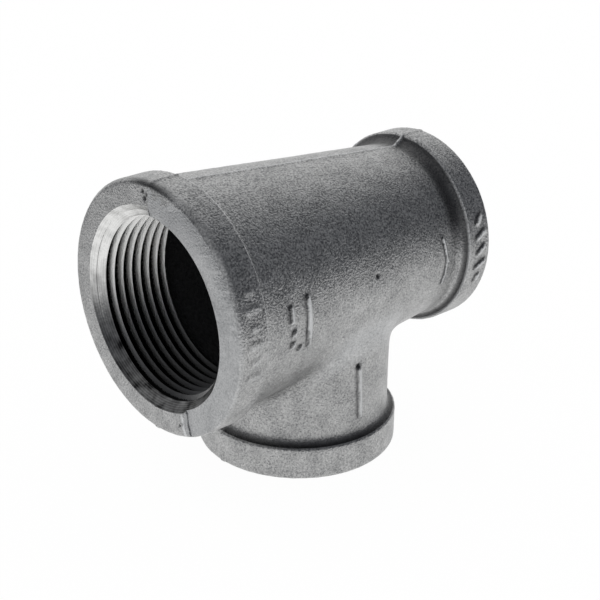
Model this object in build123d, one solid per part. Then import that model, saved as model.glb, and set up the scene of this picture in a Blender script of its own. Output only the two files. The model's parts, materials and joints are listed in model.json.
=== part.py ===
from build123d import *
import os
from dataclasses import dataclass
from math import ceil

# Cast iron reducing pipe tee with three internally threaded mouths. Millimetres.
# The origin is the centre of the branch's end face, which the tee stands on.
# +Z runs up the branch to the run, and +X along the run to its smaller mouth.

# From the crossing of the run's and the branch's axes to each end face of the run
large_reach = 40.13
small_reach = 38.10

# From the level of the large body's underside down to the branch's band
branch_neck = 8.62

# Tapped mouths: the bore that the thread is cut into, its length from the end face, and the countersink
large_thread_diameter = 38.10
small_thread_diameter = 29.37
large_thread_length = 17.60
small_thread_length = 15.20
countersink_depth = 2.75

# How far the core stands outside each thread, and the wall of metal round it
large_core_relief = 3.10
small_core_relief = 1.565
branch_core_relief = 2.065
wall = 3.80

# Reinforcing band round each mouth: how far it stands out of the body, and its width
large_band_height = 1.395
small_band_height = 2.44
branch_band_height = 1.92
large_band_width = 7.70
small_band_width = 7.05
branch_band_width = 7.85

# Roundings left by the mould, and the longest straight facet that stands for part of one
face_edge_radius = 0.80
lip_height = 0.35
crotch_radius = 4.50
facet_length = 1.30

# Fin of metal where the two halves of the mould met, in the plane of the axes
seam_height = 0.22
seam_width = 0.50

# How far the cutting forms run out past the end faces
overrun = 1.0


@dataclass
class Mouth:
    """One threaded end, measured outwards along its own axis from the crossing of the axes."""

    reach: float
    thread_diameter: float
    thread_length: float
    core_relief: float
    band_height: float
    band_width: float

    @property
    def thread_radius(self):
        return self.thread_diameter / 2

    @property
    def thread_start(self):
        return self.reach - self.thread_length

    @property
    def core_radius(self):
        return self.thread_radius + self.core_relief

    @property
    def body_radius(self):
        return self.core_radius + wall

    @property
    def band_radius(self):
        return self.body_radius + self.band_height

    @property
    def band_start(self):
        return self.reach - self.band_width

    def outside(self, skin=0.0):
        """Corners from the body out to the end face, each with the radius of its rounding."""
        return [
            (self.band_start, self.body_radius + skin, self.band_height - lip_height),
            (self.band_start, self.band_radius + skin, 0),
            (self.reach, self.band_radius + skin, face_edge_radius),
            (self.reach, 0, 0),
        ]

    def inside(self, core_radius):
        """Corners of the hollow from the core's end out past the end face."""
        shoulder = core_radius - self.thread_radius
        rim_radius = self.thread_radius + countersink_depth
        return [
            (self.thread_start - shoulder, core_radius, 0),
            (self.thread_start, self.thread_radius, 0),
            (self.reach - countersink_depth, self.thread_radius, 0),
            (self.reach + overrun, rim_radius + overrun, 0),
            (self.reach + overrun, 0, 0),
        ]


large = Mouth(
    large_reach,
    large_thread_diameter,
    large_thread_length,
    large_core_relief,
    large_band_height,
    large_band_width,
)
small = Mouth(
    small_reach,
    small_thread_diameter,
    small_thread_length,
    small_core_relief,
    small_band_height,
    small_band_width,
)
branch = Mouth(
    large.body_radius + branch_neck + branch_band_width,
    small_thread_diameter,
    small_thread_length,
    branch_core_relief,
    branch_band_height,
    branch_band_width,
)


def rounded_corner(before, corner, after, radius):
    """Points of the arc that rounds a corner, which a few straight facets follow."""
    arc = FilletPolyline(before, corner, after, radius=radius).edges().filter_by(GeomType.CIRCLE)[0]
    facets = ceil(arc.length / facet_length)
    points = [arc @ (step / facets) for step in range(facets + 1)]
    starts_first = (points[0] - Vector(before)).length < (points[-1] - Vector(before)).length
    return points if starts_first else points[::-1]


def turned(corners):
    """A solid turned round the X axis from corners given as distance along it, radius, rounding."""
    places = [(along, radius) for along, radius, _ in corners]
    roundings = [rounding for _, _, rounding in corners]
    befores = places[-1:] + places[:-1]
    afters = places[1:] + places[:1]
    outline = []
    for before, place, after, rounding in zip(befores, places, afters, roundings):
        outline += rounded_corner(before, place, after, rounding) if rounding else [place]
    return revolve(make_face(Polyline(outline, close=True)), Axis.X)


def mirrored(corners):
    """The same corners on the other side of the crossing, in the order that closes an outline."""
    return [(-along, radius, rounding) for along, radius, rounding in reversed(corners)]


def along_run(form):
    """Lift a form turned round the X axis to the height of the run."""
    return Pos(0, 0, branch.reach) * form


def along_branch(form):
    """Turn a form from the X axis to the branch, which points down from the run."""
    return Pos(0, 0, branch.reach) * Rot(0, 90, 0) * form


def blend_crossing(form):
    """Fill the corner all along the line where the branch runs into the run."""
    meeting = [edge for edge in form.edges() if edge.geom_type not in (GeomType.LINE, GeomType.CIRCLE)]
    return fillet(meeting, crotch_radius)


def core_radius_at(along):
    """Radius of the run's core, which tapers with the body from the large band to the small one."""
    taper_start = -large.band_start
    share = (along - taper_start) / (small.band_start - taper_start)
    return large.core_radius + (small.core_radius - large.core_radius) * share


def casting_outside(skin=0.0):
    """The tee as it leaves the mould, before its hollow, thicker all round by a skin."""
    run = along_run(turned(mirrored(large.outside(skin)) + small.outside(skin)))
    stem = [(0, 0, 0), (0, branch.body_radius + skin, 0)]
    outlet = along_branch(turned(stem + branch.outside(skin)))
    return blend_crossing(run + outlet)


def casting_hollow():
    """The cored waterway with its tapped mouths."""
    large_core = core_radius_at(-large.thread_start)
    small_core = core_radius_at(small.thread_start)
    run = along_run(turned(mirrored(large.inside(large_core)) + small.inside(small_core)))
    stem = [(0, 0, 0), (0, branch.core_radius, 0)]
    outlet = along_branch(turned(stem + branch.inside(branch.core_radius)))
    return run + outlet


def mould_seam():
    """A thin slice of a slightly thicker casting, which stands out as a fin all along the parting."""
    length = 2 * (large.reach + small.reach)
    height = 2 * (branch.reach + 2 * large.band_radius)
    return casting_outside(seam_height) & Box(length, seam_width, height)


def build_tee():
    tee = casting_outside() + mould_seam() - casting_hollow()
    return tee.solid()


tee_body = build_tee()
tee_body.label = "tee_body"
tee_body.color = Color(0.32, 0.33, 0.34)

os.makedirs("parts", exist_ok=True)
export_step(tee_body, "parts/tee_body.step")
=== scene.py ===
import json
from dataclasses import dataclass
from math import atan2, cos, degrees, exp, hypot, radians, sin, tau

import bmesh
import bpy
from bpy.props import FloatProperty, FloatVectorProperty, IntProperty, PointerProperty
from mathutils import Matrix, Vector, kdtree, noise


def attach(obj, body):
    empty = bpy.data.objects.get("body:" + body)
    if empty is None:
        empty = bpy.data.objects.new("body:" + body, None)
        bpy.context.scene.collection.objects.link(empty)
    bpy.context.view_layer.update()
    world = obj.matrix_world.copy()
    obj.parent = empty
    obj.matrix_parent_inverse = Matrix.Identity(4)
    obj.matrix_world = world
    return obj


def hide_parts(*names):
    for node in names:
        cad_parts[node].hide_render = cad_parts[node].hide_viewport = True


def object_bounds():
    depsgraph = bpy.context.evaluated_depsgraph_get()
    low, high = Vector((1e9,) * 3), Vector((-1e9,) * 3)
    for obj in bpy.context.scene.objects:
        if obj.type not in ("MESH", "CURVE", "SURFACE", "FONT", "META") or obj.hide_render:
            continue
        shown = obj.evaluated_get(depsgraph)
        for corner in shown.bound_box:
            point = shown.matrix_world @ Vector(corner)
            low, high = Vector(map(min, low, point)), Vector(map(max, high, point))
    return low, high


bl_info = {
    "name": "Reducing pipe tee",
    "version": (1, 0, 0),
    "blender": (4, 5, 0),
    "location": "3D View > Sidebar > Pipe tee",
    "description": "A cast iron reducing tee with tapped mouths, and the plain studio that it stands in",
    "category": "Add Mesh",
}

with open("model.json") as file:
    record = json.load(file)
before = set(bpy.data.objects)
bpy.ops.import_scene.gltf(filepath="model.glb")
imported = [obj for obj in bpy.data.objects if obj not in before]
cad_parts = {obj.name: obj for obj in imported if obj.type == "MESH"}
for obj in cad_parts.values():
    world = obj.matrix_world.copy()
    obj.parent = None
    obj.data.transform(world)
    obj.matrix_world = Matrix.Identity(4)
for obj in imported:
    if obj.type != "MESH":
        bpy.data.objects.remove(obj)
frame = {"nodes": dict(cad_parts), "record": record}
cad_low, cad_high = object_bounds()

MM = 0.001
X_AXIS = Vector((1, 0, 0))
Z_AXIS = Vector((0, 0, 1))
CASTING = "tee_casting"

# Half the height over which the step across the large end face is laid out
FACE_HALF_HEIGHT = 26 * MM

# Facets in one turn of the waterway's forms and of the countersinks
CORE_STEPS = 96
COUNTERSINK_STEPS = 190

# Edges that bend more than this stay sharp
SHARP_ANGLE = radians(38)

# Where painted shade lies along the upper left foot of a mark, as a share of the mark's width, and how far
# it spreads
FOOT_SHARE = 0.45
FOOT_SPREAD = 0.36 * MM

# How far from its middle line the lower right side of a mark carries a painted highlight, as a share of
# half its width
HIGHLIGHT_SPREAD = 1.25


def record_mount(name):
    """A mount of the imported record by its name."""
    return next(mount for mount in frame["record"]["mounts"] if mount["name"] == name)


crossing = Vector((0, 0, record_mount("large_run_thread")["pos_m"][2]))


@dataclass
class Mouth:
    """One tapped mouth: its end face's centre, the way out of it, and its drilled bore, in metres."""

    name: str
    face: Vector
    outward: Vector
    bore: float
    bore_length: float

    @property
    def placement(self):
        """Turns a form that runs inwards along +X from the origin to this mouth."""
        turn = X_AXIS.rotation_difference(-self.outward).to_matrix().to_4x4()
        return Matrix.Translation(self.face) @ turn

    @property
    def bore_end(self):
        """Depth at which the drilled bore meets the cored waterway."""
        return bpy.context.scene.tee_thread.countersink + self.bore_length


def mouth_from_record(name, face):
    """The mouth that a threaded mount of the record states, with its end face."""
    mount = record_mount(name)
    dims = mount["dims"]
    return Mouth(name, face, Vector(mount["axis"]), dims["r_mm"] * MM, dims["length_mm"] * MM)


def tee_mouths():
    """The large and small mouths of the run and the branch's mouth."""
    return [
        mouth_from_record("large_run_thread", Vector((cad_low[0], 0, crossing.z))),
        mouth_from_record("small_run_thread", Vector((cad_high[0], 0, crossing.z))),
        mouth_from_record("branch_thread", Vector((0, 0, cad_low[2]))),
    ]


def length_size(name, description, millimetres):
    """A length that a user can change."""
    return FloatProperty(name=name, description=description, default=millimetres * MM, subtype="DISTANCE")


def angle_size(name, description, angle):
    """An angle in radians that a user can change."""
    return FloatProperty(name=name, description=description, default=angle, subtype="ANGLE")


class CastingSizes(bpy.types.PropertyGroup):
    """Sizes of the casting's skin, parting fin, bands and core."""

    cell: length_size("Cell", "Edge of the small cells that the casting's skin is made of", 0.36)
    core_cell: length_size("Core cell", "Edge of the cells of the cored waterway's wall", 0.9)
    triangles: IntProperty(
        name="Triangles",
        description="How many triangles the casting's skin is thinned to",
        default=150000,
    )
    waviness: length_size("Waviness", "Depth of the shallow hollows that the mould leaves", 0.09)
    lumps: length_size("Lumps", "Depth of the sand's lumps in the skin", 0.05)
    fin_height: length_size("Fin height", "How far the fin at the parting stands out of the skin", 0.16)
    fin_width: length_size("Fin width", "Width of the fin at the parting", 0.45)
    web_height: length_size("Web height", "How far the fin fills the root of the small band", 0.9)
    large_body: length_size("Large body radius", "Radius of the run at the root of its large band", 25.95)
    small_body: length_size("Small body radius", "Radius of the run at the root of its small band", 20.05)
    branch_body: length_size("Branch body radius", "Radius of the branch at the root of its band", 20.55)
    large_band: length_size("Large band width", "Width of the band round the large mouth", 7.70)
    small_band: length_size("Small band width", "Width of the band round the small mouth", 7.05)
    branch_band: length_size("Branch band width", "Width of the band round the branch's mouth", 7.85)
    large_core: length_size("Large core radius", "Radius of the waterway behind the large thread", 21.23)
    small_core: length_size("Small core radius", "Radius of the waterway behind the small thread", 17.01)
    branch_core: length_size("Branch core radius", "Radius of the waterway in the branch", 16.75)


class FaceSizes(bpy.types.PropertyGroup):
    """Sizes of the step across the large mouth's end face, where the halves of the mould didn't meet."""

    step: length_size("Step", "How far the front part lies behind the back part at mid height", 0.32)
    tilt: angle_size("Tilt", "How much the front part leans, which makes the step deepest below", 0.01)
    top_offset: length_size("Top offset", "Where the step crosses the top of the face", 1.5)
    bottom_offset: length_size("Bottom offset", "Where the step crosses the bottom of the face", -11.5)
    ragged: length_size("Ragged edge", "How far the edge of the step strays to each side", 0.35)


class ThreadSizes(bpy.types.PropertyGroup):
    """Sizes of the taper pipe thread and of the countersinks."""

    turns_per_inch: FloatProperty(
        name="Turns per inch",
        description="Turns of thread in one inch along the mouth",
        default=11.5,
    )
    height: length_size("Thread height", "Depth of the thread from crest to root", 1.767)
    crest_clearance: length_size("Crest clearance", "How far the first crest lies outside the bore", 0.175)
    taper: FloatProperty(
        name="Taper",
        description="How much the thread's radius shrinks for each unit of depth",
        default=1 / 32,
    )
    flat: length_size("Flat", "Width of the flat on each crest and root", 0.084)
    countersink: length_size("Countersink", "Depth of the countersink at each mouth", 2.75)
    rim: length_size("Rim", "How far the countersink's edge stands outside the bore", 2.95)
    steps: IntProperty(
        name="Steps",
        description="Facets in one turn of thread",
        default=120,
    )


class StageSizes(bpy.types.PropertyGroup):
    """The floor, the dim hood that the iron mirrors, and the camera."""

    floor_radius: length_size("Floor radius", "Radius of the pale floor", 3000)
    hood_radius: length_size("Hood radius", "Radius of the dim hood over the tee", 300)
    hood_shade: FloatProperty(
        name="Hood shade",
        description="Brightness of the hood, where white is 1",
        default=0.18,
        subtype="FACTOR",
    )
    hood_foot: angle_size("Hood foot", "Angle above the run's axis at which the hood starts", radians(-8))
    hood_brow: angle_size("Hood brow", "Angle above the run's axis at which its opening ends", radians(44))
    hood_left: angle_size("Hood left", "Where the hood starts, to the right of the front", radians(-160))
    hood_right: angle_size("Hood right", "Where the hood ends, to the right of the front", radians(97))
    lens: FloatProperty(
        name="Lens",
        description="Focal length of the camera on a 36 mm sensor",
        default=85.656,
        subtype="DISTANCE_CAMERA",
    )
    distance: length_size("Camera distance", "From the camera to the point that it looks at", 319.373)
    turn: angle_size("Camera turn", "How far the camera stands round to the right of the front", -0.747)
    rise: angle_size("Camera rise", "How far the camera stands above the point that it looks at", 0.423)
    roll: angle_size("Camera roll", "Turn of the picture about its own middle", 0.016)
    target: FloatVectorProperty(
        name="Target",
        description="What the camera looks at, from the crossing of the tee's axes",
        default=(1.831 * MM, 1.478 * MM, -10.49 * MM),
        subtype="XYZ_LENGTH",
    )


def bell(offset, width):
    """1 at no offset, falling off smoothly on both sides."""
    return exp(-((offset / width) ** 2))


def ramp(value, start, length):
    """0 up to a start, and 1 from a length beyond it."""
    return min(max((value - start) / length, 0), 1)


def body_radius(along, sizes):
    """Radius of the run's tapered body at a distance along it, as a number or in a material."""
    start = cad_low[0] + sizes.large_band
    end = cad_high[0] - sizes.small_band
    return sizes.large_body + (along - start) / (end - start) * (sizes.small_body - sizes.large_body)


@dataclass
class Stroke:
    """A bar, pip or pit on the skin, from one place to another near it. A pit's height is negative."""

    start: Vector
    end: Vector
    width: float
    height: float
    contrast: float = 1.0

    @property
    def middle(self):
        return (self.start + self.end) / 2

    @property
    def reach(self):
        """How far from its middle the stroke changes the skin."""
        return (self.end - self.start).length / 2 + self.width + MM

    def offset_to(self, place, normal):
        """From the stroke's middle line to a place of the skin that faces along a normal."""
        length = (self.end - self.start).length
        along = (self.end - self.start) / length if length else Vector()
        offset = place - self.start
        offset -= along * min(max(offset.dot(along), 0), length)
        return offset - normal * offset.dot(normal)

    def fade(self, offset, spread=1.0):
        """1 on the stroke's middle line, and 0 from its edge, or from a spread times as far out."""
        return max(0, 1 - (2 * offset.length / (self.width * spread)) ** 2)

    def rise_at(self, place, normal):
        """How far the stroke lifts a place of the skin."""
        return self.height * self.fade(self.offset_to(place, normal))

    def shade_at(self, place, normal):
        """How much painted shade a place gets: along the upper left foot of a raised mark, or in a pit."""
        offset = self.offset_to(place, normal)
        if self.height < 0:
            return self.fade(offset)
        if offset.z < offset.x:
            return 0
        return self.contrast * bell(offset.length - FOOT_SHARE * self.width, FOOT_SPREAD)

    def highlight_at(self, place, normal):
        """How much painted highlight a place gets: the lower right side of a raised mark."""
        offset = self.offset_to(place, normal)
        if self.height < 0 or offset.z - offset.x > 0.1 * MM:
            return 0
        return self.contrast * self.fade(offset, HIGHLIGHT_SPREAD)


def on_run(along, angle, radius):
    """A place round the run: its distance along the run, its angle up from the front, its radius."""
    turn = radians(angle)
    return crossing + Vector((along, -radius * cos(turn), radius * sin(turn)))


def small_band_marks(sizes):
    """Plain bars and pips that count round the front of the small mouth's band."""
    radius = sizes.small_body + 2.4 * MM
    middle = cad_high[0] - 0.5 * sizes.small_band
    first_angle = 19
    spacing = 9
    slant = 1.5
    marks = []
    for number, length in enumerate((1.0, 2.2, 1.6, 2.2, 0.4)):
        angle = first_angle - spacing * number
        half = length * MM / 2
        start = on_run(middle - half, angle - slant, radius)
        end = on_run(middle + half, angle + slant, radius)
        marks.append(Stroke(start, end, width=1.4 * MM, height=0.55 * MM))
    return marks


def large_band_marks(sizes):
    """Faint pips and short bars on the large mouth's band."""
    radius = sizes.large_body + 1.35 * MM
    middle = cad_low[0] + 0.55 * sizes.large_band
    first_angle = 24
    spacing = 7.5
    half_lengths = (0.4 * MM, 1.2 * MM)
    marks = []
    for number in range(6):
        angle = first_angle - spacing * number
        half = half_lengths[number % 2]
        start = on_run(middle - half, angle, radius)
        end = on_run(middle + half, angle, radius)
        marks.append(Stroke(start, end, width=1.8 * MM, height=0.16 * MM, contrast=0.3))
    return marks


def run_marks():
    """Two bars and three pips on the front of the run, and a line and a pit near its small band."""
    # Each bar's start and end as a distance along the run and an angle, then its radius, width and height
    bars = (
        ((-19.8, 12), (-19.4, -12), 25.0, 1.5, 0.55),
        ((-24.8, 10), (-24.6, 4), 25.5, 1.5, 0.5),
        ((24.3, 14), (25.6, -1), 20.6, 0.8, 0.3),
        ((25.6, -1), (25.0, -16), 20.6, 0.8, 0.3),
    )
    pips = ((-24.0, -2.5), (-24.2, -8.5), (-22.0, -12.0))
    pip_radius = 25.3 * MM
    pit = on_run(1.8 * MM, 8, 22.7 * MM)
    marks = []
    for (start, start_angle), (end, end_angle), radius, width, height in bars:
        head = on_run(start * MM, start_angle, radius * MM)
        foot = on_run(end * MM, end_angle, radius * MM)
        marks.append(Stroke(head, foot, width * MM, height * MM))
    for along, angle in pips:
        place = on_run(along * MM, angle, pip_radius)
        marks.append(Stroke(place, place, width=1.7 * MM, height=0.5 * MM))
    marks.append(Stroke(pit, pit, width=1.4 * MM, height=-0.4 * MM))
    return marks


def branch_marks(sizes):
    """A raised bar down the front of the branch with a pit at its head."""
    front = -sizes.branch_body
    head = crossing + Vector((-0.8 * MM, front, -18.6 * MM))
    foot = crossing + Vector((-0.2 * MM, front, -30.0 * MM))
    pit = crossing + Vector((-1.2 * MM, front, -17.6 * MM))
    return [
        Stroke(head, foot, width=1.5 * MM, height=0.5 * MM, contrast=0.8),
        Stroke(pit, pit, width=1.6 * MM, height=-0.45 * MM),
    ]


def face_pits():
    """Small pits beside both ends of the step across the large mouth's face."""
    # Across the run, up from its axis, and the pit's width
    pits = ((1.6, 23.6, 1.3), (2.2, 25.0, 1.0), (0.9, 24.6, 0.8), (-9.2, -22.3, 0.9), (-8.2, -23.1, 0.7))
    marks = []
    for across, up, width in pits:
        place = crossing + Vector((cad_low[0], across * MM, up * MM))
        marks.append(Stroke(place, place, width * MM, height=-0.35 * MM))
    return marks


def cast_marks(sizes):
    """Every mark and pit of the casting's skin."""
    bands = small_band_marks(sizes) + large_band_marks(sizes)
    return bands + run_marks() + branch_marks(sizes) + face_pits()


def link(name, mesh):
    """A new object at the world's origin that holds a mesh."""
    piece = bpy.data.objects.new(name, mesh)
    bpy.context.scene.collection.objects.link(piece)
    return piece


def piece_from(bm, name, material=None):
    """A new object from a bmesh, which is freed."""
    mesh = bpy.data.meshes.new(name)
    bm.to_mesh(mesh)
    bm.free()
    if material:
        mesh.materials.append(material)
    return link(name, mesh)


def bake_modifiers(piece):
    """Make the shape that a piece's modifiers give its own mesh."""
    bpy.context.view_layer.update()
    shaped = piece.evaluated_get(bpy.context.evaluated_depsgraph_get())
    mesh = bpy.data.meshes.new_from_object(shaped)
    before = piece.data
    piece.modifiers.clear()
    piece.data = mesh
    bpy.data.meshes.remove(before)


def discard(piece):
    """Delete a helper and its mesh."""
    mesh = piece.data
    bpy.data.objects.remove(piece)
    bpy.data.meshes.remove(mesh)


def combine(piece, other, operation):
    """Join another closed piece to this one or cut it out of it, keep its materials and delete it."""
    step = piece.modifiers.new(operation.lower(), "BOOLEAN")
    step.operation = operation
    step.solver = "EXACT"
    step.material_mode = "TRANSFER"
    step.object = other
    bake_modifiers(piece)
    discard(other)


def turned(bm, outline, steps):
    """A closed form turned round the X axis from an outline of (along, radius) that ends on the axis."""
    points = [bm.verts.new((along, radius, 0)) for along, radius in outline]
    edges = [bm.edges.new(pair) for pair in zip(points, points[1:])]
    bmesh.ops.spin(
        bm,
        geom=points + edges,
        cent=(0, 0, 0),
        axis=X_AXIS,
        dvec=(0, 0, 0),
        angle=tau,
        steps=steps,
        use_merge=True,
    )
    bmesh.ops.remove_doubles(bm, verts=bm.verts, dist=MM * 1e-4)
    bmesh.ops.recalc_face_normals(bm, faces=bm.faces)


def cone(bm, start, end, start_radius, end_radius):
    """A capped cone between two points."""
    along = end - start
    turn = Z_AXIS.rotation_difference(along).to_matrix().to_4x4()
    bmesh.ops.create_cone(
        bm,
        cap_ends=True,
        segments=CORE_STEPS,
        radius1=start_radius,
        radius2=end_radius,
        depth=along.length,
        matrix=Matrix.Translation((start + end) / 2) @ turn,
    )


def solid_casting(sizes):
    """The casting as it is before its waterway: a merged copy of the solid with its hollow filled."""
    bm = bmesh.new()
    bm.from_mesh(frame["nodes"]["tee_body"].data)
    bmesh.ops.remove_doubles(bm, verts=bm.verts, dist=MM * 1e-3)
    plug = 2 * MM
    large, small, branch = tee_mouths()
    cone(bm, large.face, crossing, sizes.large_core + plug, sizes.small_core + plug)
    cone(bm, small.face, crossing, sizes.small_core + plug, sizes.small_core + plug)
    cone(bm, branch.face, crossing, sizes.branch_core + plug, sizes.branch_core + plug)
    return piece_from(bm, CASTING)


def remesh(piece, cell):
    """Skin a piece again with small even cells, which rounds its edges a little."""
    step = piece.modifiers.new("cells", "REMESH")
    step.mode = "VOXEL"
    step.voxel_size = cell
    bake_modifiers(piece)


def smooth(bm, times):
    """Even out the small steps that the cells leave."""
    for _ in range(times):
        bmesh.ops.smooth_vert(
            bm,
            verts=bm.verts,
            factor=0.5,
            use_axis_x=True,
            use_axis_y=True,
            use_axis_z=True,
        )


def thin_out(piece, triangles):
    """Leave about so many triangles, the most of them where the skin bends."""
    step = piece.modifiers.new("thin", "DECIMATE")
    step.ratio = min(1, triangles / (2 * len(piece.data.polygons)))
    bake_modifiers(piece)


def fin_rise(place, sizes):
    """How far the fin of the parting lifts a place of the skin, more in the root of the small band."""
    root = cad_high[0] - sizes.small_band - MM
    web_reach = 1.2 * MM
    web = sizes.web_height * bell(place.x - root, web_reach) if place.z > crossing.z else 0
    ragged = 0.7 + 0.5 * noise.noise(place / MM * 0.5)
    return (sizes.fin_height * ragged + web) * bell(place.y, 0.5 * sizes.fin_width)


def blend_rise(place, sizes):
    """How far the flanks are filled out where the branch runs into the run, less at the left end."""
    reach = 5.0 * MM
    fullness = 0.16
    above_run = hypot(place.y, place.z - crossing.z) - body_radius(place.x, sizes)
    above_branch = hypot(place.x, place.y) - sizes.branch_body
    if place.z > crossing.z or abs(above_run - above_branch) > reach:
        return 0
    flank = ramp(abs(place.y), 8 * MM, 8 * MM)
    left = max(ramp(place.x, -18 * MM, 6 * MM), 0.2)
    right = ramp(-place.x, -15 * MM, 8 * MM)
    below = ramp(crossing.z - place.z, 3 * MM, 6 * MM)
    nearness = 1 - ((above_run - above_branch) / reach) ** 2
    return fullness * reach * nearness ** 2 * flank * left * right * below


def sand_rise(place, sizes):
    """How far the sand of the mould lifts a place of the skin, in metres and never above it."""
    point = place / MM
    wave = 0.6 * noise.noise(point * 0.12) + 0.4 * noise.noise(point * 0.35)
    lumps = 0.6 * noise.noise(point * 0.8) + 0.4 * noise.noise(point * 1.6)
    return sizes.waviness * (0.5 * wave - 0.5) + sizes.lumps * (lumps - 0.5)


def skin_rises(verts, sizes):
    """How far sand, the parting fin, the crossing's blend and the marks lift each vertex of the skin."""
    rises = []
    for vert in verts:
        rises.append(sand_rise(vert.co, sizes) + fin_rise(vert.co, sizes) + blend_rise(vert.co, sizes))
    for stroke, index, vert in verts_near_marks(verts, sizes):
        rises[index] += stroke.rise_at(vert.co, vert.normal)
    return rises


def core_rises(verts, sizes):
    """How far each vertex of the core is lifted by its sand, which is twice as rough as the skin's."""
    return [2 * sand_rise(vert.co, sizes) for vert in verts]


def lift(piece, smoothings, rises_of, sizes):
    """Smooth a piece's mesh and move its vertices along their normals by what a function gives."""
    bm = bmesh.new()
    bm.from_mesh(piece.data)
    smooth(bm, smoothings)
    bm.normal_update()
    for vert, rise in zip(bm.verts, rises_of(bm.verts, sizes)):
        vert.co += vert.normal * rise
    bm.to_mesh(piece.data)
    bm.free()


def keep_in_box(piece):
    """Pull any vertex that stands outside the solid's box back to it."""
    for vert in piece.data.vertices:
        for axis in range(3):
            vert.co[axis] = min(max(vert.co[axis], cad_low[axis]), cad_high[axis])


def verts_near_marks(verts, sizes):
    """Each mark with each vertex in its reach and that vertex's number."""
    places = kdtree.KDTree(len(verts))
    listed = list(verts)
    for index, vert in enumerate(listed):
        places.insert(vert.co, index)
    places.balance()
    for stroke in cast_marks(sizes):
        for _, index, _ in places.find_range(stroke.middle, stroke.reach):
            yield stroke, index, listed[index]


def face_step_cutter(sizes, filed):
    """A thick plate whose long ragged edge cuts the front part of the large face back by a step."""
    reach = 60 * MM
    slope_depth = 0.4 * sizes.step
    slope_width = 1.2 * MM
    cuts = 150
    bm = bmesh.new()
    bmesh.ops.create_cube(bm, size=1)
    bmesh.ops.translate(bm, verts=bm.verts, vec=(0, -0.5, 0))
    bmesh.ops.scale(bm, verts=bm.verts, vec=(2 * sizes.step, reach, 2 * reach))
    geometry = bm.verts[:] + bm.edges[:] + bm.faces[:]
    bmesh.ops.bisect_plane(bm, geom=geometry, plane_co=(slope_depth, 0, 0), plane_no=X_AXIS)
    edges = [edge for edge in bm.edges if abs((edge.verts[0].co - edge.verts[1].co).z) > reach]
    bmesh.ops.subdivide_edges(bm, edges=edges, cuts=cuts, use_grid_fill=True)
    for vert in bm.verts:
        if vert.co.y > -MM:
            point = Vector((0, 0, vert.co.z / MM))
            vert.co.y += sizes.ragged * (noise.noise(point * 0.5) + 0.6 * noise.noise(point * 1.7))
            if vert.co.x < 0:
                vert.co.y += slope_width
    lean = atan2(sizes.top_offset - sizes.bottom_offset, 2 * FACE_HALF_HEIGHT)
    middle = crossing + Vector((cad_low[0], (sizes.top_offset + sizes.bottom_offset) / 2, 0))
    turn = Matrix.Rotation(-lean, 4, "X") @ Matrix.Rotation(-sizes.tilt, 4, "Y")
    bmesh.ops.transform(bm, matrix=Matrix.Translation(middle) @ turn, verts=bm.verts)
    return piece_from(bm, "face_step", filed)


def core_cutter(sizes, scale):
    """The cored waterway: one turned form for the run and one for the branch, with rounded corners."""
    large, small, branch = tee_mouths()
    inset = 1.5 * MM
    large_end = large.face.x + large.bore_end
    small_end = small.face.x - small.bore_end
    run = bmesh.new()
    outline = [
        (large_end - inset, 0),
        (large_end - inset, large.bore - inset),
        (large_end + sizes.large_core - large.bore, sizes.large_core),
        (small_end - sizes.small_core + small.bore, sizes.small_core),
        (small_end + inset, small.bore - inset),
        (small_end + inset, 0),
    ]
    turned(run, outline, CORE_STEPS)
    bmesh.ops.translate(run, verts=run.verts, vec=crossing)
    run_core = piece_from(run, "run_core")
    stem = bmesh.new()
    outline = [
        (branch.bore_end - inset, 0),
        (branch.bore_end - inset, branch.bore - inset),
        (branch.bore_end + sizes.branch_core - branch.bore, sizes.branch_core),
        (crossing.z, sizes.branch_core),
        (crossing.z, 0),
    ]
    turned(stem, outline, CORE_STEPS)
    bmesh.ops.transform(stem, matrix=branch.placement, verts=stem.verts)
    combine(run_core, piece_from(stem, "branch_core"), "UNION")
    remesh(run_core, sizes.core_cell)
    lift(run_core, 4, core_rises, sizes)
    # The waterway's wall is painted near black, for the shade deep inside the tee
    run_core.data.materials.clear()
    run_core.data.materials.append(scale)
    return run_core


def countersink_share(angle):
    """How much of the large countersink's width is left at an angle: less where metal is rolled in."""
    notch = 88
    lip_end = 152
    whole_again = 212
    rolled = 0.44
    if angle < notch or angle > whole_again:
        return 1
    return rolled + (1 - rolled) * max(0, angle - lip_end) / (whole_again - lip_end)


def countersink_cutter(mouth, sizes, machined):
    """The countersink's stepped cone as one turned form."""
    bm = bmesh.new()
    rim = mouth.bore + sizes.rim
    depth = sizes.countersink
    ledge = 0.15 * MM
    slope = (sizes.rim - ledge) / depth
    cuts_of_tool = ((0, 0.30), (0.37, 0.66), (0.74, 1.0))
    outline = [(-MM, 0), (-MM, rim)]
    for start, end in cuts_of_tool:
        outline.append((start * depth, rim - start * depth * slope))
        outline.append((end * depth, rim - end * depth * slope))
    outline += [(depth + MM, mouth.bore - MM), (depth + MM, 0)]
    turned(bm, outline, COUNTERSINK_STEPS)
    if mouth.name == "large_run_thread":
        roll_rim(bm, mouth)
    bmesh.ops.transform(bm, matrix=mouth.placement, verts=bm.verts)
    return piece_from(bm, mouth.name + "_countersink", machined)


def roll_rim(bm, mouth):
    """Narrow the countersink where metal is rolled into the mouth."""
    for vert in bm.verts:
        radius = hypot(vert.co.y, vert.co.z)
        if radius > mouth.bore:
            share = countersink_share(degrees(atan2(vert.co.z, vert.co.y)) % 360)
            scale = (mouth.bore + (radius - mouth.bore) * share) / radius
            vert.co.y *= scale
            vert.co.z *= scale


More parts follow.
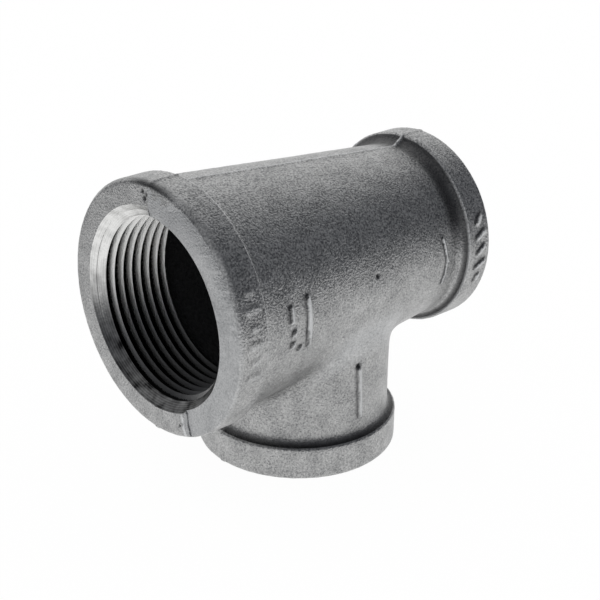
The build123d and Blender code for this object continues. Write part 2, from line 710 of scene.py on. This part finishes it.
def thread_cutter(mouth, sizes, machined):
    """The tap's own form: a zigzag spun along a helix and narrowed inwards, then cut off square."""
    pitch = 25.4 * MM / sizes.turns_per_inch
    lead_turns = 2
    turns = int(mouth.bore_end / pitch) + 2 * lead_turns
    crest = mouth.bore + sizes.crest_clearance
    root = crest + sizes.height
    flank = (pitch - 2 * sizes.flat) / 2
    bm = bmesh.new()
    outline = []
    for turn in range(turns):
        start = (turn - lead_turns) * pitch
        outline.append((start, crest))
        outline.append((start + sizes.flat, crest))
        outline.append((start + sizes.flat + flank, root))
        outline.append((start + 2 * sizes.flat + flank, root))
    points = [bm.verts.new((along, radius, 0)) for along, radius in outline]
    edges = [bm.edges.new(pair) for pair in zip(points, points[1:])]
    bmesh.ops.spin(
        bm,
        geom=points + edges,
        cent=(0, 0, 0),
        axis=X_AXIS,
        dvec=(pitch / sizes.steps, 0, 0),
        angle=tau,
        steps=sizes.steps,
        use_merge=False,
    )
    bmesh.ops.remove_doubles(bm, verts=bm.verts, dist=MM * 0.01)
    for vert in bm.verts:
        radius = hypot(vert.co.y, vert.co.z)
        scale = (radius - sizes.taper * vert.co.x) / radius
        vert.co.y *= scale
        vert.co.z *= scale
    outer_end = -0.6 * MM
    inner_end = mouth.bore_end + 0.5 * MM
    for place, outward in ((outer_end, -X_AXIS), (inner_end, X_AXIS)):
        geometry = bm.verts[:] + bm.edges[:] + bm.faces[:]
        bmesh.ops.bisect_plane(
            bm,
            geom=geometry,
            plane_co=(place, 0, 0),
            plane_no=outward,
            clear_outer=True,
        )
    rims = [edge for edge in bm.edges if edge.is_boundary]
    bmesh.ops.holes_fill(bm, edges=rims, sides=0)
    bmesh.ops.triangulate(bm, faces=[face for face in bm.faces if len(face.verts) > 4])
    bmesh.ops.recalc_face_normals(bm, faces=bm.faces)
    bmesh.ops.transform(bm, matrix=mouth.placement, verts=bm.verts)
    return piece_from(bm, mouth.name, machined)


def paint_marks(piece, sizes):
    """Write each vertex's painted shade and painted highlight at the marks to the piece's own attributes.
    """
    count = len(piece.data.vertices)
    grime = [0.0] * count
    worn = [0.0] * count
    for stroke, index, vert in verts_near_marks(piece.data.vertices, sizes):
        grime[index] = max(grime[index], stroke.shade_at(vert.co, vert.normal))
        worn[index] = max(worn[index], stroke.highlight_at(vert.co, vert.normal))
    for name, values in (("grime", grime), ("worn", worn)):
        layer = piece.data.attributes.new(name, "FLOAT", "POINT")
        layer.data.foreach_set("value", values)


class Value:
    """A number's socket in a material, so that sums on it are written as Python expressions."""

    def __init__(self, shader, socket):
        self.shader = shader
        self.socket = socket

    def sum_node(self, operation, first, second=None, clamp=False):
        settings = {"operation": operation, "use_clamp": clamp}
        values = {0: first} if second is None else {0: first, 1: second}
        return self.shader.node("ShaderNodeMath", settings, values)["Value"]

    def __add__(self, other):
        return self.sum_node("ADD", self, other)

    def __radd__(self, other):
        return self.sum_node("ADD", other, self)

    def __sub__(self, other):
        return self.sum_node("SUBTRACT", self, other)

    def __rsub__(self, other):
        return self.sum_node("SUBTRACT", other, self)

    def __mul__(self, other):
        return self.sum_node("MULTIPLY", self, other)

    def __rmul__(self, other):
        return self.sum_node("MULTIPLY", other, self)

    def __truediv__(self, other):
        return self.sum_node("DIVIDE", self, other)

    def __pow__(self, other):
        return self.sum_node("POWER", self, other)

    def __neg__(self):
        return 0 - self

    def clamped(self):
        """The same number kept between 0 and 1."""
        return self.sum_node("ADD", self, 0.0, clamp=True)

    def sine(self):
        """The sine of an angle."""
        return self.sum_node("SINE", self)

    def near(self, middle, reach):
        """1 where the number is at the middle, and 0 from the reach away."""
        offset = (self - middle) / reach
        return (1 - offset * offset).clamped()

    def above(self, start, length):
        """0 up to a start, and 1 from a length beyond it."""
        return ((self - start) / length).clamped()


class Outputs:
    """The outputs of a node by name or number, each as a Value."""

    def __init__(self, shader, node):
        self.shader = shader
        self.node = node

    def __getitem__(self, name):
        return Value(self.shader, self.node.outputs[name])


class Shader:
    """A material's nodes."""

    def __init__(self, name):
        self.material = bpy.data.materials.new(name)
        self.material.use_nodes = True
        self.tree = self.material.node_tree
        self.tree.nodes.clear()

    def node(self, kind, settings=None, values=None):
        """Any node: its settings first, then the values or links of its sockets."""
        made = self.tree.nodes.new(kind)
        for setting, value in (settings or {}).items():
            setattr(made, setting, value)
        for socket, value in (values or {}).items():
            if isinstance(value, Value):
                self.tree.links.new(value.socket, made.inputs[socket])
            else:
                made.inputs[socket].default_value = value
        return Outputs(self, made)

    def place(self):
        """The place of a point in the piece's own coordinates."""
        return self.node("ShaderNodeTexCoord")["Object"]

    def split(self, place):
        """The X, Y and Z of a place."""
        return self.node("ShaderNodeSeparateXYZ", {}, {"Vector": place})

    def stored(self, name):
        """A number that the piece's own attribute stores at each vertex."""
        return self.node("ShaderNodeAttribute", {"attribute_name": name})["Fac"]

    def noise(self, place, scale, detail=2.0):
        """A cloudy pattern between 0 and 1, so many times finer than one metre."""
        values = {"Vector": place, "Scale": scale, "Detail": detail}
        return self.node("ShaderNodeTexNoise", {}, values)["Fac"]

    def mix(self, share, first, second):
        """A colour between two others."""
        return self.node("ShaderNodeMix", {"data_type": "RGBA"}, {0: share, 6: first, 7: second})[2]

    def bump(self, height, distance):
        """The surface's normal, tilted by a height pattern of a depth in metres."""
        return self.node("ShaderNodeBump", {}, {"Distance": distance, "Height": height})["Normal"]

    def light(self, colour):
        """A plain glow of a colour, where white shows as white."""
        return self.node("ShaderNodeEmission", {}, {"Color": colour, "Strength": 1.0})["Emission"]

    def surface(self, values):
        """The material that a plain surface with these values makes."""
        return self.ended(self.node("ShaderNodeBsdfPrincipled", {}, values)["BSDF"])

    def ended(self, shaded):
        """The material that ends in this surface or light."""
        self.node("ShaderNodeOutputMaterial", {}, {"Surface": shaded})
        return self.material


def sand_iron(name, dark, light, grain_depth, light_painter=None):
    """Iron with the grain of its sand: speckles of two greys, cloudy patches and a half matt gloss."""
    shader = Shader(name)
    place = shader.place()
    grain = shader.noise(place, 2300.0, 1.0)
    fine = shader.noise(place, 4200.0, 1.0)
    patches = shader.noise(place, 240.0)
    axes = shader.split(place)
    off_face = axes["X"].above(cad_low[0] + 1.5 * MM, MM)
    upper = (axes["Z"] - crossing.z).above(-4 * MM, 16 * MM)
    contrast = 0.85 + upper * off_face * 0.7
    speckle = ((grain - 0.5) * 1.8 + fine - 0.5) * contrast + (patches - 0.5) * 0.7
    colour = shader.mix((speckle + 0.5).clamped(), dark, light)
    metal = 1.0
    # A material may lay painted shade and painted highlights over the grain here
    if light_painter:
        colour, metal = light_painter(shader, place, grain, colour)
    return shader.surface({
        "Base Color": colour,
        "Metallic": metal,
        "Roughness": (0.40 + (grain - 0.5) * 0.3).clamped(),
        "Normal": shader.bump(grain * 0.7 + fine * 0.3, grain_depth),
    })


def cast_skin():
    """Black oxide skin of a sand casting, with painted shade in its roots and at its marks and painted
    highlights on its ridges.
    """
    dark = (0.185, 0.188, 0.191, 1)
    light = (0.59, 0.59, 0.586, 1)
    return sand_iron("cast_skin", dark, light, 0.22 * MM, skin_with_painted_light)


class SkinPlace:
    """Where a point of the skin lies, in the numbers by which a material finds its roots and ridges."""

    def __init__(self, shader, place):
        self.sizes = bpy.context.scene.tee_casting
        axes = shader.split(place)
        self.along = axes["X"]
        self.across = axes["Y"]
        self.above_floor = axes["Z"]
        self.height = self.above_floor - crossing.z
        self.radius = (self.across * self.across + self.height * self.height) ** 0.5
        self.stem_radius = (self.along * self.along + self.across * self.across) ** 0.5
        self.upper = self.height.above(0, 8 * MM)
        self.top = self.height.above(14 * MM, 6 * MM)
        self.large_root = cad_low[0] + self.sizes.large_band
        self.small_root = cad_high[0] - self.sizes.small_band
        self.on_face = (cad_low[0] + 1.4 * MM - self.along).above(0, 0.3 * MM)


def root_and_edge_shade(skin):
    """How much painted shade darkens the roots of the two smaller bands and the top of the large face's
    outer edge.
    """
    sizes = skin.sizes
    groove = skin.small_root - 1.5 * MM + skin.top * 1.2 * MM
    small_root = skin.along.near(groove, 2.6 * MM) * skin.upper
    small_root += skin.along.near(skin.small_root - 0.1 * MM, 0.9 * MM) * (1 - skin.upper)
    small_root *= (sizes.small_body + 2.1 * MM - skin.radius).above(0, 0.2 * MM)
    small_root *= 1 - skin.across.near(0, 0.6 * MM) * skin.upper
    branch_root = (1 - (skin.above_floor - sizes.branch_band) / (2.3 * MM)).clamped() ** 1.4
    branch_root *= (sizes.branch_body + 1.5 * MM - skin.stem_radius).above(0, 0.15 * MM)
    face_edge = skin.radius.near(sizes.large_body + 0.7 * MM, 0.7 * MM)
    face_edge *= skin.across.near(0, 8 * MM) * skin.upper * skin.on_face
    return small_root * 0.85 + branch_root + face_edge * 0.9


def step_ridge(skin):
    """How close a point is to the lower edge of the step across the large face."""
    face = bpy.context.scene.tee_face
    slant = (face.top_offset - face.bottom_offset) / (2 * FACE_HALF_HEIGHT)
    off_edge = skin.across - face.bottom_offset - (skin.height + FACE_HALF_HEIGHT) * slant
    return off_edge.near(1.3 * MM, 0.6 * MM) * (-skin.height).above(20 * MM, MM) * skin.on_face


def crossing_crease(skin):
    """How close a point is to the line where the branch runs into the underside of the run."""
    above_run = skin.radius - body_radius(skin.along, skin.sizes)
    above_branch = skin.stem_radius - skin.sizes.branch_body
    crease = (above_run - above_branch).near(0, 3.5 * MM) * (-skin.height).above(5 * MM, 5 * MM)
    return crease * skin.along.above(-14 * MM, 9 * MM) * (17 * MM - skin.along).above(0, 8 * MM)


def ridge_and_crease_highlights(skin):
    """How much painted highlight lies on the top of the seam, on the edges of the bands and face and on
    the step's lower edge, and how much painted light brightens the crossing's crease.
    """
    sizes = skin.sizes
    seam = skin.across.near(0, 0.4 * MM) * skin.upper * skin.along.above(skin.large_root, MM)
    seam *= (skin.small_root + 0.3 * MM - skin.along).above(0, 0.3 * MM)
    large_ridge = skin.along.near(skin.large_root - 0.15 * MM, 0.38 * MM)
    large_ridge *= skin.radius.above(sizes.large_body + 0.3 * MM, 0.3 * MM)
    small_ridge = skin.along.near(skin.small_root, 0.3 * MM) * (1 - skin.top)
    small_ridge *= skin.radius.above(sizes.small_body + 1.6 * MM, 0.2 * MM)
    face_ridge = skin.radius.near(sizes.large_body + 0.9 * MM, 0.5 * MM)
    face_ridge *= (-skin.across).above(14 * MM, 6 * MM) * skin.on_face
    bands = large_ridge * 0.75 + small_ridge * 0.4
    return crossing_crease(skin) * 0.45 + bands + face_ridge * 0.35 + step_ridge(skin) + seam * 0.6


def skin_with_painted_light(shader, place, grain, colour):
    """The skin's colour with painted shade in its roots and at its marks and painted highlights on its
    ridges, and how metallic it is.
    """
    # Near black for the painted shade, and light grey for the painted highlights, which also make the skin
    # less metallic
    shade_dark = (0.03, 0.03, 0.032, 1)
    highlight_grey = (0.60, 0.61, 0.62, 1)
    skin = SkinPlace(shader, place)
    grime = (shader.stored("grime") + root_and_edge_shade(skin)) * (0.7 + 0.5 * grain)
    worn = (shader.stored("worn") * 0.8 + ridge_and_crease_highlights(skin) * (0.35 + grain)).clamped()
    colour = shader.mix(grime.clamped(), colour, shade_dark)
    return shader.mix(worn, colour, highlight_grey), 1 - worn * 0.8


def filed_iron():
    """The smoother front part of the large mouth's face."""
    dark = (0.26, 0.266, 0.272, 1)
    light = (0.54, 0.545, 0.55, 1)
    return sand_iron("filed_iron", dark, light, 0.14 * MM)


def core_iron():
    """The cored waterway's wall: dark matt scale, painted near black for the shade deep inside the tee."""
    dark = (0.006, 0.006, 0.007, 1)
    light = (0.03, 0.031, 0.032, 1)
    shader = Shader("core_iron")
    grain = shader.noise(shader.place(), 1200.0)
    return shader.surface({
        "Base Color": shader.mix(grain, dark, light),
        "Roughness": 0.9,
        "Specular IOR Level": 0.1,
        "Normal": shader.bump(grain, 0.4 * MM),
    })


def tapped_iron(mouth, sizes):
    """Machined iron of one mouth: bright crests, painted shade in the thread's roots, oil with painted
    shade that darkens it towards the bottom of the run's mouths, and stained rings in the countersink.
    """
    dull_bright = (0.64, 0.64, 0.63, 1)
    bright = (0.95, 0.95, 0.94, 1)
    stain_and_shade_black = (0.02, 0.02, 0.02, 1)
    ring_spacing = 0.36 * MM
    thread_ramp = 0.2 * MM
    shader = Shader("tapped_iron_" + mouth.name)
    inverse = mouth.placement.inverted()
    above_floor = shader.split(shader.place())["Z"]
    values = {"Vector": shader.place(), "Location": inverse.translation, "Rotation": inverse.to_euler()}
    place = shader.node("ShaderNodeMapping", {"vector_type": "POINT"}, values)["Vector"]
    axes = shader.split(place)
    depth = axes["X"]
    radius = (axes["Y"] * axes["Y"] + axes["Z"] * axes["Z"]) ** 0.5
    grain = shader.noise(place, 2600.0)
    stains = shader.noise(place, 380.0)
    crest = mouth.bore + sizes.crest_clearance
    thread_height = (radius + depth * sizes.taper - crest) / sizes.height
    in_thread = depth.above(sizes.countersink, thread_ramp)
    # Painted shade in the thread's roots
    root = (thread_height + (grain - 0.5) * 0.4).above(0.48, 0.25) * in_thread
    rings = (radius * (tau / ring_spacing)).sine() * 0.06 + (stains - 0.4) * 0.9
    # Oil, most in the countersink, with painted shade that darkens it towards the bottom of the run's
    # mouths
    level = abs(mouth.outward.z) < 0.5
    low = (crossing.z - above_floor) / mouth.bore * level
    oil_and_low_shade = (low + 0.3 - in_thread * 0.35).clamped() * (0.72 + 0.15 * in_thread)
    stain_and_shade = (root + (1 - in_thread) * rings + oil_and_low_shade).clamped()
    return shader.surface({
        "Base Color": shader.mix(stain_and_shade, shader.mix(grain, dull_bright, bright), stain_and_shade_black),
        "Metallic": 1.0,
        "Roughness": (0.28 + grain * 0.16).clamped(),
        "Normal": shader.bump(grain, 0.05 * MM),
    })


class TEE_OT_casting(bpy.types.Operator):
    """Skin the tee's casting with small cells and give it its sand, marks and parting fin"""

    bl_idname = "tee.casting"
    bl_label = "Casting"

    def execute(self, context):
        sizes = context.scene.tee_casting
        piece = solid_casting(sizes)
        remesh(piece, sizes.cell * (1))
        lift(piece, 2, skin_rises, sizes)
        thin_out(piece, sizes.triangles)
        keep_in_box(piece)
        piece.data.materials.append(cast_skin())
        combine(piece, face_step_cutter(context.scene.tee_face, filed_iron()), "DIFFERENCE")
        return {"FINISHED"}


class TEE_OT_mouths(bpy.types.Operator):
    """Cut the waterway, the countersinks and the threads into the casting"""

    bl_idname = "tee.mouths"
    bl_label = "Waterway and mouths"

    def execute(self, context):
        sizes = context.scene.tee_thread
        casting_sizes = context.scene.tee_casting
        piece = bpy.data.objects[CASTING]
        combine(piece, core_cutter(casting_sizes, core_iron()), "DIFFERENCE")
        for mouth in tee_mouths():
            machined = tapped_iron(mouth, sizes)
            combine(piece, countersink_cutter(mouth, sizes, machined), "DIFFERENCE")
            combine(piece, thread_cutter(mouth, sizes, machined), "DIFFERENCE")
        piece.data.shade_smooth()
        piece.data.set_sharp_from_angle(angle=SHARP_ANGLE)
        paint_marks(piece, casting_sizes)
        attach(piece, "root")
        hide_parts("tee_body")
        return {"FINISHED"}


class TEE_OT_stage(bpy.types.Operator):
    """Set up the pale floor, the light, the dim hood and the camera"""

    bl_idname = "tee.stage"
    bl_label = "Stage"

    def execute(self, context):
        sizes = context.scene.tee_stage
        stage_floor(sizes)
        stage_hood(sizes)
        stage_world()
        stage_camera(sizes)
        return {"FINISHED"}


def seen_share(shader):
    """1 where the camera sees a surface, straight or mirrored, and 0 where it lights others."""
    ray = shader.node("ShaderNodeLightPath")
    return (ray["Is Camera Ray"] + ray["Is Glossy Ray"] + ray["Is Transmission Ray"]).clamped()


def stage_floor(sizes):
    """A white floor just under the tee, which keeps a faint shadow of it."""
    drop = 0.02 * MM
    whiteness = 0.97
    bm = bmesh.new()
    bmesh.ops.create_circle(bm, cap_ends=True, segments=64, radius=sizes.floor_radius)
    bmesh.ops.translate(bm, verts=bm.verts, vec=(0, 0, -drop))
    shader = Shader("floor_white")
    matt = shader.node("ShaderNodeBsdfDiffuse", {}, {"Color": (0.95, 0.95, 0.95, 1)})["BSDF"]
    white = shader.light((1, 1, 1, 1))
    share = seen_share(shader) * whiteness
    lit = shader.node("ShaderNodeMixShader", {}, {0: share, 1: matt, 2: white})["Shader"]
    piece_from(bm, "floor", shader.ended(lit))


def hood_grey(sizes):
    """The hood's dim, slightly blue grey, which brightens towards its back and top."""
    shader = Shader("hood_grey")
    axes = shader.split(shader.place())
    towards_back = (axes["Y"] / sizes.hood_radius + 0.25).clamped()
    towards_top = ((axes["Z"] - crossing.z) / sizes.hood_radius * 2 - 0.5).clamped()
    shade = sizes.hood_shade
    dim = (shade * 0.97, shade, shade * 1.08, 1)
    colour = shader.mix((towards_back * towards_top * 0.9).clamped(), dim, (1, 1, 1, 1))
    return shader.ended(shader.light(colour))


def stage_hood(sizes):
    """A dim hood over the tee, open at the right and behind, which only the iron shows, as a mirror."""
    rings = 12
    bm = bmesh.new()
    span = sizes.hood_brow - sizes.hood_foot
    angles = [sizes.hood_foot + span * ring / rings for ring in range(rings + 1)]
    spin_profile(bm, angles, sizes, sizes.hood_left, sizes.hood_right - sizes.hood_left)
    span = radians(90) - sizes.hood_brow
    angles = [sizes.hood_brow + span * ring / rings for ring in range(rings + 1)]
    spin_profile(bm, angles, sizes, 0, tau)
    bmesh.ops.remove_doubles(bm, verts=bm.verts, dist=MM)
    bmesh.ops.translate(bm, verts=bm.verts, vec=crossing)
    hood = piece_from(bm, "hood", hood_grey(sizes))
    hood.visible_camera = False
    hood.visible_diffuse = False
    hood.visible_shadow = False


def spin_profile(bm, angles, sizes, start, turn):
    """Part of the hood: an arc at these angles above the run's axis, spun round the upright axis."""
    radius = sizes.hood_radius
    side = Vector((sin(start), -cos(start), 0))
    points = [bm.verts.new(radius * (side * cos(angle) + Z_AXIS * sin(angle))) for angle in angles]
    edges = [bm.edges.new(pair) for pair in zip(points, points[1:])]
    bmesh.ops.spin(
        bm,
        geom=points + edges,
        cent=(0, 0, 0),
        axis=Z_AXIS,
        dvec=(0, 0, 0),
        angle=turn,
        steps=48,
    )


def stage_world():
    """Even white light from all round."""
    world = bpy.data.worlds.new("studio")
    world.use_nodes = True
    sky = world.node_tree.nodes["Background"]
    sky.inputs["Color"].default_value = (1, 1, 1, 1)
    sky.inputs["Strength"].default_value = 1.0
    bpy.context.scene.world = world
    bpy.context.scene.view_settings.view_transform = "Standard"


def stage_camera(sizes):
    """A camera at the photograph's viewing angle."""
    target = Vector(sizes.target) + crossing
    outward = cos(sizes.rise)
    back = Vector((sin(sizes.turn) * outward, -cos(sizes.turn) * outward, sin(sizes.rise)))
    right = Z_AXIS.cross(back).normalized()
    up = back.cross(right)
    leaned_right = right * cos(sizes.roll) + up * sin(sizes.roll)
    leaned_up = up * cos(sizes.roll) - right * sin(sizes.roll)
    lens = bpy.data.cameras.new("camera")
    lens.lens = sizes.lens
    lens.sensor_width = 36.0
    camera = bpy.data.objects.new("camera", lens)
    bpy.context.scene.collection.objects.link(camera)
    turn = Matrix((leaned_right, leaned_up, back)).transposed().to_4x4()
    camera.matrix_world = Matrix.Translation(target + back * sizes.distance) @ turn
    bpy.context.scene.camera = camera


OPERATORS = (TEE_OT_casting, TEE_OT_mouths, TEE_OT_stage)
GROUPS = {
    "tee_casting": CastingSizes,
    "tee_face": FaceSizes,
    "tee_thread": ThreadSizes,
    "tee_stage": StageSizes,
}


class TEE_PT_panel(bpy.types.Panel):
    """The tee's pieces in the order in which they are made"""

    bl_idname = "TEE_PT_panel"
    bl_label = "Pipe tee"
    bl_space_type = "VIEW_3D"
    bl_region_type = "UI"
    bl_category = "Pipe tee"

    def draw(self, context):
        for operator in OPERATORS:
            self.layout.operator(operator.bl_idname)


def register():
    """Make the sizes, the operators and the panel known to Blender."""
    for name, group in GROUPS.items():
        bpy.utils.register_class(group)
        setattr(bpy.types.Scene, name, PointerProperty(type=group))
    for operator in OPERATORS:
        bpy.utils.register_class(operator)
    bpy.utils.register_class(TEE_PT_panel)


def unregister():
    """Take them away again."""
    bpy.utils.unregister_class(TEE_PT_panel)
    for operator in reversed(OPERATORS):
        bpy.utils.unregister_class(operator)
    for name, group in GROUPS.items():
        delattr(bpy.types.Scene, name)
        bpy.utils.unregister_class(group)


def main():
    """Make the tee and its stage."""
    register()
    bpy.ops.tee.casting()
    bpy.ops.tee.mouths()
    bpy.ops.tee.stage()


if __name__ == "__main__":
    main()
